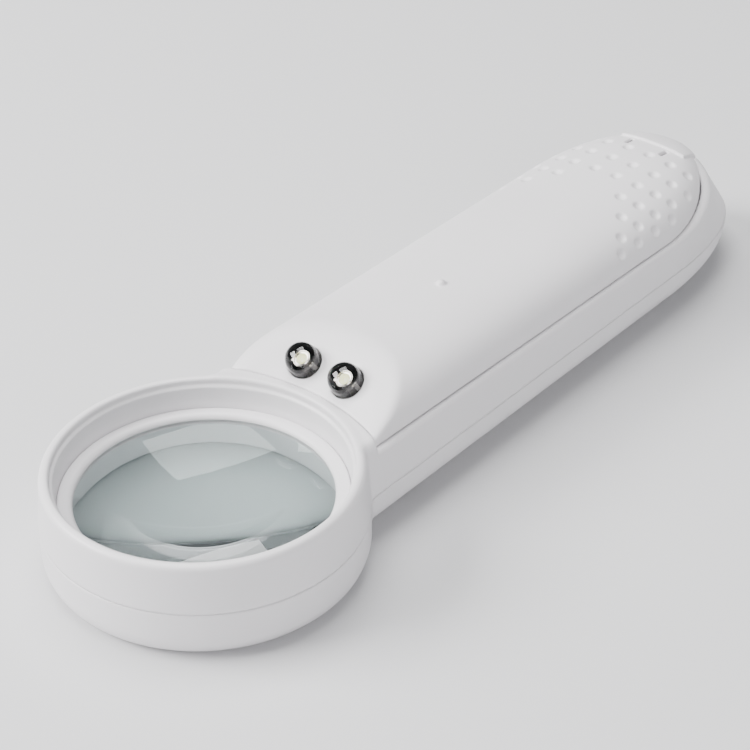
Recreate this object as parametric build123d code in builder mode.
from build123d import *
import math
import os

# Low vision hand magnifier with two LEDs: a lens in a ring on a hollow handle.
# Millimetres. +X runs from the lens to the tail, +Z is up, LED side up.
# Origin: middle of the length, on the surface that the underside rests on.

# ---------------------------------------------------------------- driving dimensions
RING_R = 23.5           # outer radius of the lens ring at the parting line
TAIL_REACH = 121.5      # ring axis to the tip of the tail
HEAD_X = RING_R - (RING_R + TAIL_REACH) / 2

SEAM_Z = 8.0            # parting line between the two shells
RIM_Z = 15.7            # top rim of the ring
FLANGE_Z = 13.9         # top edge of the handle's side wall
CROWN_Z = 21.2          # highest line of the cover
WALL = 1.6              # moulded wall
GAP = 0.15              # gap round the removable cover

LENS_R = 19.9
LENS_CLEAR_R = 18.5     # 37 mm clear opening
LENS_EDGE = 2.2
LENS_CURVE_R = 85.0     # radius of both faces
LENS_SEAT_Z = 7.85

# handle outlines: straight, slightly tapered sides closed by a half ellipse at the tail
TAIL_X = 92.0           # ring axis to the start of the half ellipse
NECK_HALF = 16.9        # half width at the parting line, by the ring
SEAM_HALF = 15.3        # half width at the parting line, at TAIL_X
TOP_NECK_HALF = 14.4    # the same two, at the level BAND_TOP_Z
TOP_HALF = 15.4
BAND_TOP_Z = 18.0
TOP_REACH = 22.3        # length of the half ellipse at BAND_TOP_Z
SEAM_REACH = TAIL_REACH - TAIL_X
FLANGE_RISE = 4.0       # how far the flange climbs towards the tail's tip
SECTION_POWER = 3.0     # superellipse power of the underside
TIP_ROUND = 2           # how much faster the underside's outlines shorten than narrow at the tail

# cover
COVER_HALF = 14.6
COVER_REACH = 21.5
COVER_POWER = 2.6
COVER_TIP_Z = 19.0
TIP_POWER = 5
FACE_ANGLE = 34.0       # slope of the LED face from the horizontal
FACE_ARC_R = 36.6       # the face's lower edge is an arc of this radius, in plan
FACE_ARC_X = -13.6      # ring axis to that arc's centre
CAVITY_X = 24.3         # ring axis to the front wall of the handle's hollow

BAR_X = (107.6, 113.6)  # raised bar across the cover's tail
BAR_HALF = 6.35
BAR_RISE = 0.8
BAR_ROOT = 1.2          # how deep the bar is rooted in the cover
SLOT_X = (105.6, 107.4) # slots beside the snap tongue
SLOT_Y = (2.9, 3.9)
SKIRT_X = (40.0, 88.0)  # locating skirts inside the side walls
SKIRT_Y = (12.3, 13.45)
PIP_X = 52.0            # small tactile pip on the cover
PIP_R = 0.9

# LEDs
LED_R = 2.5
LED_PITCH = 8.3
LED_X = 25.9            # where the LED axes meet the face
LED_Z = 17.9
LED_PROUD = 0.9         # the dome's centre stands this far above the face
LED_BARREL = 4.2        # straight length below the dome's centre
LED_FLANGE_R = 2.9
LED_FLANGE = 1.0

# power
CELL_R = 5.25
CELL_CAN = 43.3
CELL_CAP = 0.9
CELL_CAP_R = 1.9
CELL_X = 52.0           # ring axis to the head end of the cells
CELL_Z = 8.6
CELL_Y = 5.75

# switch
SWITCH_X = 38.0         # ring axis to the middle of the knob's slot
SWITCH_TRAVEL = 3.0
KNOB_Z = 0.3            # the knob's grip stays this far above the resting plane
RECESS_Z = 1.4          # depth of the recess round the knob
PAD_Z = 3.0             # thickened floor round the recess
FRAME_Z = 6.0           # underside of the switch's metal frame
EAR_PITCH = 15.0

# screws
POSTS = [(29.0, -10.5), (29.0, 10.5), (102.5, -8.2), (102.5, 8.2)]
POST_R = 2.6
LOWER_POST_R = 3.2
HEAD_WELL_R = 2.3       # well in the underside that takes the screw's head
HEAD_SEAT_Z = 4.0
HEAD_R = 2.0
HEAD_HEIGHT = 1.4
SCREW_R = 1.1
SCREW_TOP_Z = 11.6
POST_TOP_Z = 12.6

WIRE_R = 0.6

os.makedirs("parts", exist_ok=True)


def place(x, y=0.0, z=0.0):
    """A point given by its distance from the ring axis."""
    return (HEAD_X + x, y, z)


def save(sub_part, name):
    sub_part.label = name
    export_step(sub_part, "parts/" + name + ".step")


def outline(z, front_x, neck_half, tail_half, reach):
    """Plan outline of the handle at height z, closed by a half ellipse at the tail."""
    with BuildSketch(Plane.XY.offset(z)) as plan:
        with BuildLine():
            near = (HEAD_X + front_x, -neck_half)
            far = (HEAD_X + front_x, neck_half)
            tail = (HEAD_X + TAIL_X, 0)
            Line(far, near)
            Line(near, (HEAD_X + TAIL_X, -tail_half))
            EllipticalCenterArc(tail, reach, tail_half, start_angle=-90, arc_size=180)
            Line((HEAD_X + TAIL_X, tail_half), far)
        make_face()
    return plan.sketch


def hull_levels(inset, floor, front_x):
    """Plan outlines of the underside, from the parting line down to its flat."""
    levels = []
    for angle in (0, 7, 15, 24, 34, 45, 57, 69, 82):
        across = math.cos(math.radians(angle)) ** (2 / SECTION_POWER)
        down = math.sin(math.radians(angle)) ** (2 / SECTION_POWER)
        if angle == 82:
            down = 1.0
        z = SEAM_Z - (SEAM_Z - floor) * down
        levels.append(outline(z, front_x, (NECK_HALF - inset) * across,
                              (SEAM_HALF - inset) * across, (SEAM_REACH - inset) * across ** TIP_ROUND))
    return levels


def flange_z(x):
    """Height of the top edge of the side wall, x from the ring axis."""
    past = max(x - TAIL_X, 0) / TOP_REACH
    return FLANGE_Z + FLANGE_RISE * past ** 2


def flange_cut(clearance):
    """Everything above the flange, as one long solid with the flange as its underside."""
    half = RING_R + 5
    with BuildPart() as cut:
        with BuildSketch(Plane.XZ.offset(-half)):
            with BuildLine():
                ends = [TAIL_X + TOP_REACH * k / 4 for k in range(5)]
                points = [(HEAD_X + x, flange_z(x) + clearance) for x in ends]
                high = CROWN_Z + 10
                last_x = HEAD_X + TAIL_REACH + 5
                slope = 2 * FLANGE_RISE / TOP_REACH
                last_z = points[-1][1] + slope * (last_x - points[-1][0])
                first = (HEAD_X + CAVITY_X - 20, FLANGE_Z + clearance)
                Line(first, points[0])
                Spline(points, tangents=[(1, 0), (1, slope)])
                Polyline(points[-1], (last_x, last_z), (last_x, high), (first[0], high), first)
            make_face()
        extrude(amount=2 * half)
    return cut.part


def face_cone(inset):
    """Solid in front of and above the sloped LED face; inset makes it bigger for the inside."""
    bottom = FLANGE_Z - 4
    top = CROWN_Z + 6
    run = (top - RIM_Z) / math.tan(math.radians(FACE_ANGLE))
    with BuildPart() as cone:
        with BuildSketch(Plane.XZ):
            with BuildLine():
                axis_x = HEAD_X + FACE_ARC_X
                low = axis_x + FACE_ARC_R + inset
                Polyline((axis_x, bottom), (low, bottom), (low, RIM_Z), (low + run, top),
                         (axis_x, top), (axis_x, bottom))
            make_face()
        revolve(axis=Axis((HEAD_X + FACE_ARC_X, 0, 0), (0, 0, 1)))
    return cone.part


def crown_z(x):
    """Height of the cover's middle line, level until it drops at the tip of the tail."""
    past = max(x - TAIL_X, 0) / COVER_REACH
    return CROWN_Z - (CROWN_Z - COVER_TIP_Z) * past ** TIP_POWER


def cover_section(x, inset):
    """Half superellipse across the cover at x from the ring axis."""
    past = max(x - TAIL_X, 0) / (COVER_REACH - inset)
    half = (COVER_HALF - inset) * math.sqrt(max(1 - past ** 2, 0))
    base = flange_z(x) + GAP
    rise = crown_z(x) - inset - base
    steps = 12
    with BuildSketch(Plane(origin=place(x), x_dir=(0, 1, 0), z_dir=(1, 0, 0))) as section:
        with BuildLine():
            points = []
            for k in range(steps + 1):
                angle = math.pi * k / steps
                across = math.copysign(abs(math.cos(angle)) ** (2 / COVER_POWER), math.cos(angle))
                up = math.sin(angle) ** (2 / COVER_POWER) if 0 < k < steps else 0.0
                points.append((half * across, base + rise * up))
            Spline(points, tangents=[(0, 1), (0, -1)])
            Line(points[-1], points[0])
        make_face()
    return section.sketch


def cover_skin(inset):
    """Outer or inner form of the cover."""
    with BuildPart() as straight:
        for x in (FACE_ARC_X + FACE_ARC_R - 6, TAIL_X):
            add(cover_section(x, inset))
        loft()
    with BuildPart() as tail:
        for angle in (0, 20, 38, 54, 68, 80):
            x = TAIL_X + (COVER_REACH - inset) * math.sin(math.radians(angle))
            add(cover_section(x, inset))
        loft()
    return straight.part + tail.part


def led_plane(side, along=0.0):
    """Plane across an LED's axis; along is measured outwards from the face."""
    tilt = math.radians(FACE_ANGLE)
    out = (-math.sin(tilt), 0, math.cos(tilt))
    x, y, z = place(LED_X, side * LED_PITCH / 2, LED_Z)
    origin = (x + out[0] * along, y, z + out[2] * along)
    return Plane(origin=origin, x_dir=(0, 1, 0), z_dir=out)


def ring_profile(points):
    """Solid turned about the ring axis from a closed outline of (radius, height) points."""
    with BuildPart() as turned:
        with BuildSketch(Plane.XZ):
            with BuildLine():
                Polyline([(HEAD_X + r, z) for r, z in points], close=True)
            make_face()
        revolve(axis=Axis(place(0), (0, 0, 1)))
    return turned.part


def cylinder_at(x, y, low, high, radius):
    """Upright cylinder, x from the ring axis."""
    with BuildPart() as post:
        with BuildSketch(Plane.XY.offset(low)):
            with Locations((HEAD_X + x, y)):
                Circle(radius)
        extrude(amount=high - low)
    return post.part


def block(x, y, z):
    """Box between the given pairs of limits, x from the ring axis."""
    with BuildPart() as solid:
        with BuildSketch(Plane.XY.offset(z[0])):
            with Locations((HEAD_X + (x[0] + x[1]) / 2, (y[0] + y[1]) / 2)):
                Rectangle(x[1] - x[0], y[1] - y[0])
        extrude(amount=z[1] - z[0])
    return solid.part


def along_x(x, y, z, radius):
    """Cylinder along X between the given pair of limits, x from the ring axis."""
    with BuildPart() as solid:
        with BuildSketch(Plane(origin=place(x[0]), x_dir=(0, 1, 0), z_dir=(1, 0, 0))):
            with Locations((y, z)):
                Circle(radius)
        extrude(amount=x[1] - x[0])
    return solid.part


# ---------------------------------------------------------------- lower shell
SEAT_DROP = 0.35        # the lens seat is a shallow cone, as deep as the lens face falls there
JOIN_X = 14.0           # the handle's forms start here, inside the ring's wall
LIP = 0.6               # bevel at the foot of the lens opening
BELLY_Z = 4.0           # the ring's outer wall starts to round off below this
BELLY = 3.0
GROOVE_R = (20.8, 22.0) # groove that takes the upper ring's tongue
GROOVE = 1.1
SLOT_HALF = (3.5, 1.5)  # half length and half width of the knob's slot
RECESS_HALF = (7.0, 4.2)
PAD_HALF = (9.0, 6.0)
PILLAR_R = 1.35         # pillars that carry the switch frame, each with a staking pin
PIN_R = 0.7
PIN = 1.0
ROOT = 0.4              # how far a standing feature is sunk into what it stands on

with BuildPart() as lower_form:
    for level in hull_levels(0, 0, JOIN_X):
        add(level)
    loft(ruled=True)

with BuildPart() as lower_ring:
    with BuildSketch(Plane.XZ):
        with BuildLine():
            inner = HEAD_X + LENS_CLEAR_R
            outer = HEAD_X + RING_R
            Polyline((inner, SEAM_Z), (inner, LIP), (inner + LIP, 0), (outer - BELLY, 0))
            EllipticalCenterArc((outer - BELLY, BELLY_Z), BELLY, BELLY_Z, start_angle=-90, arc_size=90)
            Polyline((outer, BELLY_Z), (outer, SEAM_Z), (inner, SEAM_Z))
        make_face()
    revolve(axis=Axis(place(0), (0, 0, 1)))

with BuildPart() as lower_hollow:
    for level in hull_levels(WALL, WALL, CAVITY_X + 0.9):
        add(level)
    loft(ruled=True)

lens_well = ring_profile([(0, -1), (LENS_CLEAR_R, -1), (LENS_CLEAR_R, LENS_SEAT_Z - SEAT_DROP),
                          (LENS_R + 0.1, LENS_SEAT_Z), (LENS_R + 0.1, SEAM_Z + 1), (0, SEAM_Z + 1)])
groove_in, groove_out = GROOVE_R
tongue_groove = ring_profile([(groove_in, SEAM_Z - GROOVE), (groove_out, SEAM_Z - GROOVE),
                              (groove_out, SEAM_Z + 1), (groove_in, SEAM_Z + 1)])
half_ear = EAR_PITCH / 2


def around_switch(half, z):
    """Block centred on the switch in plan; half holds its half length and half width."""
    return block((SWITCH_X - half[0], SWITCH_X + half[0]), (-half[1], half[1]), z)


with BuildPart() as lower_shell:
    add(lower_form.part - lower_hollow.part)
    add(lower_ring.part)
    add(lens_well, mode=Mode.SUBTRACT)
    add(tongue_groove, mode=Mode.SUBTRACT)
    # thickened floor and recess for the switch knob
    add(around_switch(PAD_HALF, (WALL - ROOT, PAD_Z)))
    add(around_switch(RECESS_HALF, (-1, RECESS_Z)), mode=Mode.SUBTRACT)
    add(around_switch(SLOT_HALF, (0, PAD_Z + 1)), mode=Mode.SUBTRACT)
    # pillars with staking pins for the switch frame
    for side in (-1, 1):
        add(cylinder_at(SWITCH_X + side * half_ear, 0, PAD_Z - ROOT, FRAME_Z, PILLAR_R))
        add(cylinder_at(SWITCH_X + side * half_ear, 0, FRAME_Z, FRAME_Z + PIN, PIN_R))
    # screw posts
    for x, y in POSTS:
        add(cylinder_at(x, y, WALL - ROOT, SEAM_Z, LOWER_POST_R) & lower_form.part)
    for x, y in POSTS:
        add(cylinder_at(x, y, -1, HEAD_SEAT_Z, HEAD_WELL_R), mode=Mode.SUBTRACT)
        add(cylinder_at(x, y, 0, SEAM_Z + 1, SCREW_R + 0.1), mode=Mode.SUBTRACT)
save(lower_shell.part, "lower_shell")

# ---------------------------------------------------------------- upper shell
RETAINER_R = 20.75      # bore that takes the lens ring
CLAMP_Z = 10.05         # underside of the lens ring's rim
LEDGE_Z = 14.6          # small ledge inside the ring, under the rim
INNER_RIM_R = 21.4

with BuildPart() as band_form:
    add(outline(SEAM_Z, JOIN_X, NECK_HALF, SEAM_HALF, SEAM_REACH))
    add(outline(BAND_TOP_Z, JOIN_X, TOP_NECK_HALF, TOP_HALF, TOP_REACH))
    loft(ruled=True)

with BuildPart() as band_hollow:
    add(outline(SEAM_Z, CAVITY_X, NECK_HALF - WALL, SEAM_HALF - WALL, SEAM_REACH - WALL))
    add(outline(BAND_TOP_Z, CAVITY_X, TOP_NECK_HALF - WALL, TOP_HALF - WALL, TOP_REACH - WALL))
    loft(ruled=True)

neck_land = cylinder_at(FACE_ARC_X, 0, 10, RIM_Z, FACE_ARC_R)
above_flange = flange_cut(0) - neck_land
tongue_in = groove_in + 0.1
tongue_out = groove_out - 0.1
tongue_z = SEAM_Z - GROOVE + 0.1
ring_upper = ring_profile([
    (LENS_R + 0.1, SEAM_Z), (tongue_in, SEAM_Z), (tongue_in, tongue_z), (tongue_out, tongue_z),
    (tongue_out, SEAM_Z), (RING_R, SEAM_Z), (RING_R - 0.6, RIM_Z - 0.8), (RING_R - 0.75, RIM_Z - 0.3),
    (RING_R - 1.2, RIM_Z), (INNER_RIM_R + 0.4, RIM_Z), (INNER_RIM_R, RIM_Z - 0.4), (INNER_RIM_R, LEDGE_Z),
    (INNER_RIM_R - 0.4, LEDGE_Z), (RETAINER_R, CLAMP_Z + 0.85), (RETAINER_R, CLAMP_Z),
    (LENS_R + 0.1, CLAMP_Z)])

with BuildPart() as upper_shell:
    add(band_form.part)
    add(above_flange, mode=Mode.SUBTRACT)
    add(cylinder_at(0, 0, 0, 2 * CROWN_Z, RING_R - 1.5), mode=Mode.SUBTRACT)
    add(band_hollow.part, mode=Mode.SUBTRACT)
    add(ring_upper)
    # screw posts, each with a rib to the side wall
    for x, y in POSTS:
        side = math.copysign(1, y)
        add(cylinder_at(x, y, SEAM_Z, POST_TOP_Z, POST_R))
        rib = sorted((y + side * (POST_R - 1.1), y + side * (POST_R + 2)))
        add(block((x - WALL / 2, x + WALL / 2), rib, (SEAM_Z, POST_TOP_Z)))
        add(cylinder_at(x, y, SEAM_Z - 1, SCREW_TOP_Z + 0.2, SCREW_R + 0.02), mode=Mode.SUBTRACT)
save(upper_shell.part, "upper_shell")

# ---------------------------------------------------------------- lens and its ring
with BuildPart() as lens:
    with BuildSketch(Plane.XZ):
        with BuildLine():
            sag = LENS_CURVE_R - math.sqrt(LENS_CURVE_R ** 2 - LENS_R ** 2)
            low = LENS_SEAT_Z + 0.02
            high = LENS_SEAT_Z + LENS_EDGE
            RadiusArc((HEAD_X, high + sag), (HEAD_X + LENS_R, high), LENS_CURVE_R)
            Line((HEAD_X + LENS_R, high), (HEAD_X + LENS_R, low))
            RadiusArc((HEAD_X + LENS_R, low), (HEAD_X, low - sag), LENS_CURVE_R)
            Line((HEAD_X, low - sag), (HEAD_X, high + sag))
        make_face()
    revolve(axis=Axis(place(0), (0, 0, 1)))
save(lens.part, "lens")

retainer_z = CLAMP_Z + 0.05
retainer_out = RETAINER_R - 0.05
lens_ring = ring_profile([
    (LENS_CLEAR_R, retainer_z + SEAT_DROP), (LENS_R, retainer_z), (retainer_out, retainer_z),
    (retainer_out, retainer_z + 0.75), (retainer_out - 0.3, retainer_z + 1.05),
    (LENS_CLEAR_R + 0.7, retainer_z + 1.05), (LENS_CLEAR_R + 0.1, retainer_z + 0.8)])
save(lens_ring, "lens_ring")

# ---------------------------------------------------------------- top cover
tilt = math.radians(FACE_ANGLE)
face_inset = WALL / math.sin(tilt) - 0.6
cover_hollow = cover_skin(WALL) - face_cone(GAP + face_inset)

with BuildPart() as top_cover:
    add(cover_skin(0))
    add(face_cone(GAP), mode=Mode.SUBTRACT)
    add(cover_hollow, mode=Mode.SUBTRACT)
    # raised bar across the tail, with a slot on each side of the snap tongue
    with BuildSketch(Plane.XZ.offset(-BAR_HALF)):
        with BuildLine():
            bar_low, bar_high = BAR_X
            bar_root = crown_z(bar_low) - BAR_ROOT
            Polyline((HEAD_X + bar_low, bar_root),
                     (HEAD_X + bar_low + 0.5, crown_z(bar_low) + BAR_RISE),
                     (HEAD_X + bar_high, crown_z(bar_high) + BAR_RISE + 0.6),
                     (HEAD_X + bar_high + 0.8, crown_z(bar_high) + 0.2),
                     (HEAD_X + bar_high - 1.6, bar_root), close=True)
        make_face()
    extrude(amount=2 * BAR_HALF)
    for side in (-1, 1):
        slot_y = sorted(side * edge for edge in SLOT_Y)
        add(block(SLOT_X, slot_y, (FLANGE_Z, CROWN_Z + 2)), mode=Mode.SUBTRACT)
    # locating skirts inside the side walls
    for side in (-1, 1):
        skirt_y = sorted(side * face for face in SKIRT_Y)
        add(block(SKIRT_X, skirt_y, (FLANGE_Z - 1.4, FLANGE_Z + 2.6)))
    # holes for the LEDs, square to the face
    for side in (-1, 1):
        with BuildSketch(led_plane(side, -6)):
            Circle(LED_R + 0.15)
        extrude(amount=12, mode=Mode.SUBTRACT)
    with Locations(place(PIP_X, 0, CROWN_Z - 0.3)):
        Sphere(PIP_R)
save(top_cover.part, "top_cover")

# ---------------------------------------------------------------- LEDs and their board
DIE_ALONG = 0.9         # the phosphor's top face, from the LED face
BOARD_ALONG = -7.5      # the board's upper face
BOARD_SIZE = (14.6, 8.0, 1.0)
HOLDER_SIZE = (14.4, 6.4)
LED_FOOT = LED_PROUD - LED_BARREL - LED_FLANGE
LEG = 0.5               # square legs
LEG_SIDE = 1.27         # half of the legs' 2.54 mm pitch
CUP_R = 0.85
PHOSPHOR_R = 0.72


def led_disc(side, along, height, radius):
    """Cylinder on an LED's axis, from along outwards."""
    with BuildPart() as disc:
        with BuildSketch(led_plane(side, along)):
            Circle(radius)
        extrude(amount=height)
    return disc.part


def led_bar(side, along, height, offset, size):
    """Square bar beside an LED's axis; offset is across the two legs."""
    with BuildPart() as bar:
        with BuildSketch(led_plane(side, along)):
            with Locations((offset, 0)):
                Rectangle(*size)
        extrude(amount=height)
    return bar.part


def lead_frame(side):
    """Cathode cup and anode post, each running down through the board as a leg."""
    legs_low = BOARD_ALONG - BOARD_SIZE[2] - 0.9
    cup = led_disc(side, DIE_ALONG - 0.9, 0.85, CUP_R)
    cup += led_bar(side, LED_FOOT + 0.9, DIE_ALONG - 1.6 - LED_FOOT, 0.55, (1.3, LEG))
    cup += led_bar(side, legs_low, LED_FOOT + 1.8 - legs_low, LEG_SIDE, (LEG, LEG))
    post = led_bar(side, legs_low, DIE_ALONG - 0.4 - legs_low, -LEG_SIDE, (LEG, LEG))
    return Compound(cup.solids() + post.solids())


def led_body(side):
    """Clear epoxy body with its dome, moulded round the lead frame and the phosphor."""
    with BuildPart() as body:
        add(led_disc(side, LED_PROUD - LED_BARREL, LED_BARREL, LED_R))
        add(led_disc(side, LED_FOOT, LED_FLANGE, LED_FLANGE_R))
        with Locations(led_plane(side, LED_PROUD).origin):
            Sphere(LED_R)
    return body.part


sides = {"near": -1, "far": 1}
frames = {}
for word, side in sides.items():
    frame = lead_frame(side)
    phosphor = led_disc(side, DIE_ALONG - 0.05, 0.25, PHOSPHOR_R)
    body = led_body(side)
    for metal in frame.solids():
        body -= metal
    body -= phosphor
    frames[word] = frame
    save(body, "led_" + word)
    save(frame, "led_lead_frame_" + word)
    save(phosphor, "led_phosphor_" + word)

board_middle = place(LED_X - BOARD_ALONG * math.sin(tilt), 0, LED_Z + BOARD_ALONG * math.cos(tilt))
board_plane = Plane(origin=board_middle, x_dir=(0, 1, 0), z_dir=(-math.sin(tilt), 0, math.cos(tilt)))


def tilted_block(size, along, shift=0.0):
    """Box parallel to the LED board; along is the height of its lower face over the board."""
    with BuildPart() as solid:
        with BuildSketch(board_plane.offset(along)):
            with Locations((0, shift)):
                Rectangle(size[0], size[1])
        extrude(amount=size[2])
    return solid.part


holder_height = LED_FOOT - BOARD_ALONG
led_holder = tilted_block((*HOLDER_SIZE, holder_height), 0)
led_board = tilted_block(BOARD_SIZE, -BOARD_SIZE[2])
for word, side in sides.items():
    for offset in (-LEG_SIDE, LEG_SIDE):
        leg = led_bar(side, BOARD_ALONG - 3, holder_height + 4, offset, (LEG + 0.02, LEG + 0.02))
        led_holder -= leg
        led_board -= leg
save(led_holder, "led_holder")
save(led_board, "led_board")

RESISTOR_SHIFT = -2.7   # behind the LED legs, on the board's underside
RESISTOR_BODY = (3.4, 0.8)
RESISTOR_WIRE = (7.0, 0.25)
resistor_drop = -BOARD_SIZE[2] - 1.0
resistor_axis = board_plane.offset(resistor_drop)
resistor_middle = resistor_axis.from_local_coords((0, RESISTOR_SHIFT, 0))
with BuildPart() as resistor:
    for length, radius in (RESISTOR_BODY, RESISTOR_WIRE):
        start = resistor_middle - Vector(0, length / 2, 0)
        with BuildSketch(Plane(origin=start, x_dir=(1, 0, 0), z_dir=(0, 1, 0))):
            Circle(radius)
        extrude(amount=length)
    for side in (-1, 1):
        with BuildSketch(resistor_axis):
            with Locations((side * (RESISTOR_WIRE[0] / 2 - RESISTOR_WIRE[1]), RESISTOR_SHIFT)):
                Rectangle(2 * RESISTOR_WIRE[1], 2 * RESISTOR_WIRE[1])
        extrude(amount=-resistor_drop - BOARD_SIZE[2])
save(resistor.part, "resistor")

# ---------------------------------------------------------------- slide switch
SHEET = 0.4             # thickness of the switch's steel frame
CAN = (4.4, 1.9, 3.6)   # half length, half width and height of its can
EARS_HALF = 9.4
BASE = 0.9              # thickness of the insulating base
TERMINAL_PITCH = 2.5
TERMINAL_HALF = (0.3, 0.15)
GRIP_HALF = 3.2
RIB_PITCH = 1.2
rest_x = SWITCH_X - SWITCH_TRAVEL / 2


def on_slide(half_x, half_y, z):
    """Block centred in plan on the knob at rest."""
    return block((rest_x - half_x, rest_x + half_x), (-half_y, half_y), z)


with BuildPart() as switch_knob:
    add(on_slide(GRIP_HALF, GRIP_HALF, (KNOB_Z, RECESS_Z - 0.1)))
    # neck through the slot, plate over it, and a fork round the actuator
    add(on_slide(1.7, SLOT_HALF[1] - 0.2, (RECESS_Z - 0.2, PAD_Z + 0.3)))
    add(on_slide(4.0, 2.8, (PAD_Z + 0.1, PAD_Z + 0.9)))
    add(on_slide(2.4, 1.6, (PAD_Z + 0.8, PAD_Z + 2.4)))
    add(on_slide(0.8, 2.0, (PAD_Z + 1.0, PAD_Z + 3)), mode=Mode.SUBTRACT)
    for k in (-2, -1, 0, 1, 2):
        groove = (rest_x + k * RIB_PITCH - 0.25, rest_x + k * RIB_PITCH + 0.25)
        add(block(groove, (-4, 4), (0, KNOB_Z + 0.35)), mode=Mode.SUBTRACT)
save(switch_knob.part, "switch_knob")

can_half, can_side, can_height = CAN
with BuildPart() as switch_frame:
    add(around_switch((EARS_HALF, can_side), (FRAME_Z, FRAME_Z + SHEET)))
    add(around_switch((can_half, can_side), (FRAME_Z, FRAME_Z + can_height)))
    add(around_switch((can_half - SHEET, can_side - SHEET), (FRAME_Z + SHEET, FRAME_Z + 4)),
        mode=Mode.SUBTRACT)
    add(around_switch((2.4, 0.9), (FRAME_Z - 1, FRAME_Z + 1)), mode=Mode.SUBTRACT)
    for side in (-1, 1):
        add(cylinder_at(SWITCH_X + side * half_ear, 0, FRAME_Z - 1, FRAME_Z + 1, PIN_R + 0.05),
            mode=Mode.SUBTRACT)
save(switch_frame.part, "switch_frame")

with BuildPart() as switch_actuator:
    add(on_slide(0.7, 0.7, (PAD_Z + 1.3, FRAME_Z + 0.8)))
    add(on_slide(1.7, 1.3, (FRAME_Z + 0.5, FRAME_Z + 2.4)))
save(switch_actuator.part, "switch_actuator")

base_z = FRAME_Z + can_height
switch_base = around_switch((can_half, can_side), (base_z, base_z + BASE))
pin_x, pin_y = TERMINAL_HALF
pins = []
for k in (-1, 0, 1):
    x = SWITCH_X + k * TERMINAL_PITCH
    pin = block((x - pin_x, x + pin_x), (-pin_y, pin_y), (base_z - 0.8, base_z + 3.4))
    pins.append(pin)
    switch_base -= pin
save(switch_base, "switch_base")
save(Compound(sum((pin.solids() for pin in pins), [])), "switch_terminals")

# ---------------------------------------------------------------- batteries and contacts
can_x = (CELL_X + 0.6, CELL_X + 0.6 + CELL_CAN)
cell_sides = {"far": 1, "near": -1}
for word, side in cell_sides.items():
    save(along_x(can_x, side * CELL_Y, CELL_Z, CELL_R), "cell_" + word)
    if side > 0:
        cap_x = (can_x[0] - CELL_CAP, can_x[0])
    else:
        cap_x = (can_x[1], can_x[1] + CELL_CAP)
    save(along_x(cap_x, side * CELL_Y, CELL_Z, CELL_CAP_R), "cell_cap_" + word)

TRAY_HALF = 12.1
TRAY_FLOOR_HALF = 8.4
TRAY_Z = (2.7, 5.2, 9.0)    # floor, top of its bevels, top of the side walls
END_WALL_HALF = 11.6
END_WALL_Z = 13.2
PLATE = 0.35            # thickness of the contact plates
PLATE_SLOT = 0.4
PLATE_HALF = 3.4
PLATE_Z = (5.6, 12.6)
BRIDGE_HALF = 9.2
TAB_HALF = 1.2
TAB_REACH = 2.0
SPRING_WIRE_R = 0.17
SPRING_PITCH = 0.25
SPRING_R = (3.3, 2.7, 2.1)

tray_x = (can_x[0] - 2.9, can_x[1] + 2.7)
contact_x = (can_x[0] - CELL_CAP - PLATE_SLOT, can_x[1] + CELL_CAP)
with BuildPart() as battery_tray:
    with BuildSketch(Plane(origin=place(tray_x[0]), x_dir=(0, 1, 0), z_dir=(1, 0, 0))):
        floor_z, bevel_z, wall_z = TRAY_Z
        Polygon((-TRAY_HALF, wall_z), (-TRAY_HALF, bevel_z), (-TRAY_FLOOR_HALF, floor_z),
                (TRAY_FLOOR_HALF, floor_z), (TRAY_HALF, bevel_z), (TRAY_HALF, wall_z), align=None)
    extrude(amount=tray_x[1] - tray_x[0])
    add(block((tray_x[0], contact_x[0]), (-END_WALL_HALF, END_WALL_HALF), (wall_z - 1, END_WALL_Z)))
    add(block((contact_x[1] + PLATE_SLOT, tray_x[1]), (-END_WALL_HALF, END_WALL_HALF),
              (wall_z - 1, END_WALL_Z)))
    for side in (-1, 1):
        bed = (contact_x[0], contact_x[1] + PLATE_SLOT)
        add(along_x(bed, side * CELL_Y, CELL_Z, CELL_R + 0.1), mode=Mode.SUBTRACT)
    bridge_slot = (contact_x[1], contact_x[1] + PLATE_SLOT)
    add(block(bridge_slot, (-BRIDGE_HALF - 0.1, BRIDGE_HALF + 0.1), (PLATE_Z[0] - 0.1, PLATE_Z[1] + 0.1)),
        mode=Mode.SUBTRACT)
save(battery_tray.part, "battery_tray")


def contact_plate(x, y):
    """Thin spring-steel plate against an end wall, with a solder tab over the wall."""
    tab_z = END_WALL_Z + 0.05
    plate = block((x, x + PLATE), (y - PLATE_HALF, y + PLATE_HALF), PLATE_Z)
    plate += block((x, x + PLATE), (y - TAB_HALF, y + TAB_HALF), (PLATE_Z[1], tab_z + PLATE))
    plate += block((x - TAB_REACH, x + PLATE), (y - TAB_HALF, y + TAB_HALF), (tab_z, tab_z + PLATE))
    return plate


def contact_spring(x, y, direction):
    """Three turns of a conical spring, widest against the plate."""
    turns = []
    for k, radius in enumerate(SPRING_R):
        at = x + direction * (SPRING_WIRE_R + 0.03 + SPRING_PITCH * k)
        plane = Plane(origin=place(at, y, CELL_Z), x_dir=(0, 1, 0), z_dir=(1, 0, 0))
        with BuildPart(plane) as turn:
            Torus(radius, SPRING_WIRE_R)
        turns.append(turn.part)
    return turns


save(contact_plate(contact_x[0], CELL_Y), "contact_positive")
save(contact_plate(contact_x[0], -CELL_Y), "contact_negative")
bridge = block((contact_x[1], contact_x[1] + PLATE), (-BRIDGE_HALF, BRIDGE_HALF), PLATE_Z)
save(bridge, "contact_bridge")
springs = contact_spring(contact_x[0] + PLATE + 0.01, -CELL_Y, 1)
springs += contact_spring(contact_x[1] - 0.01, CELL_Y, -1)
save(Compound(sum((turn.solids() for turn in springs), [])), "contact_springs")


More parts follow.
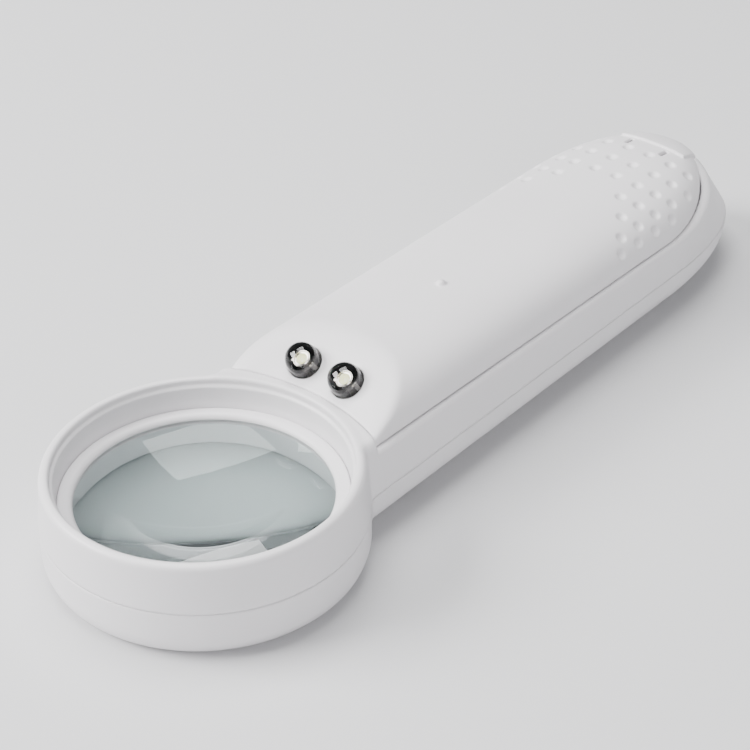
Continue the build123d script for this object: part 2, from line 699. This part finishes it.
# ---------------------------------------------------------------- leads
def lead(points):
    """Insulated lead along straight runs joined by tangent arcs."""
    corners = [Vector(*place(*p)) for p in points]
    radii = []
    for a, b, c in zip(corners, corners[1:], corners[2:]):
        turn = (b - a).get_angle(c - b)
        shorter = min((b - a).length, (c - b).length)
        radii.append(0.45 * shorter / math.tan(math.radians(turn / 2)))
    with BuildPart() as tube:
        with BuildLine() as path:
            FilletPolyline(*corners, radius=radii)
        route = path.wires()[0]
        with BuildSketch(Plane(origin=route @ 0, z_dir=route % 0)):
            Circle(WIRE_R)
        sweep()
    ratio = tube.part.volume / (math.pi * WIRE_R ** 2 * route.length)
    print("lead", round(route.length, 1), "mm, volume ratio", round(ratio, 3),
          "radii", [round(r, 1) for r in radii])
    return tube.part


wire_z = base_z + 2.6
save(lead([(47.6, CELL_Y, 13.2), (45.6, CELL_Y, 12.6), (43.4, 3.2, wire_z), (41.0, 0.0, wire_z)]),
     "lead_red")
save(lead([(47.6, -CELL_Y, 13.2), (45.4, -CELL_Y, 12.4), (41.0, -5.2, 11.6), (37.0, -5.0, 12.0),
           (34.6, -3.5, 12.9)]), "lead_black")
save(lead([(34.55, 0.0, wire_z + 0.5), (34.6, 1.8, wire_z + 0.6), (34.75, 3.6, 12.9)]), "lead_white")

# ---------------------------------------------------------------- screws
CROSS_HALF = 1.3
CROSS_WIDTH = 0.5
screws = []
for x, y in POSTS:
    with BuildPart() as screw:
        add(cylinder_at(x, y, HEAD_SEAT_Z - HEAD_HEIGHT, HEAD_SEAT_Z, HEAD_R))
        add(cylinder_at(x, y, HEAD_SEAT_Z, SCREW_TOP_Z, SCREW_R))
        # cross recess in the head
        for half_x, half_y in ((CROSS_HALF, CROSS_WIDTH / 2), (CROSS_WIDTH / 2, CROSS_HALF)):
            add(block((x - half_x, x + half_x), (y - half_y, y + half_y), (0, HEAD_SEAT_Z - 0.8)),
                mode=Mode.SUBTRACT)
    screws.append(screw.part)
save(Compound(sum((screw.solids() for screw in screws), [])), "housing_screws")
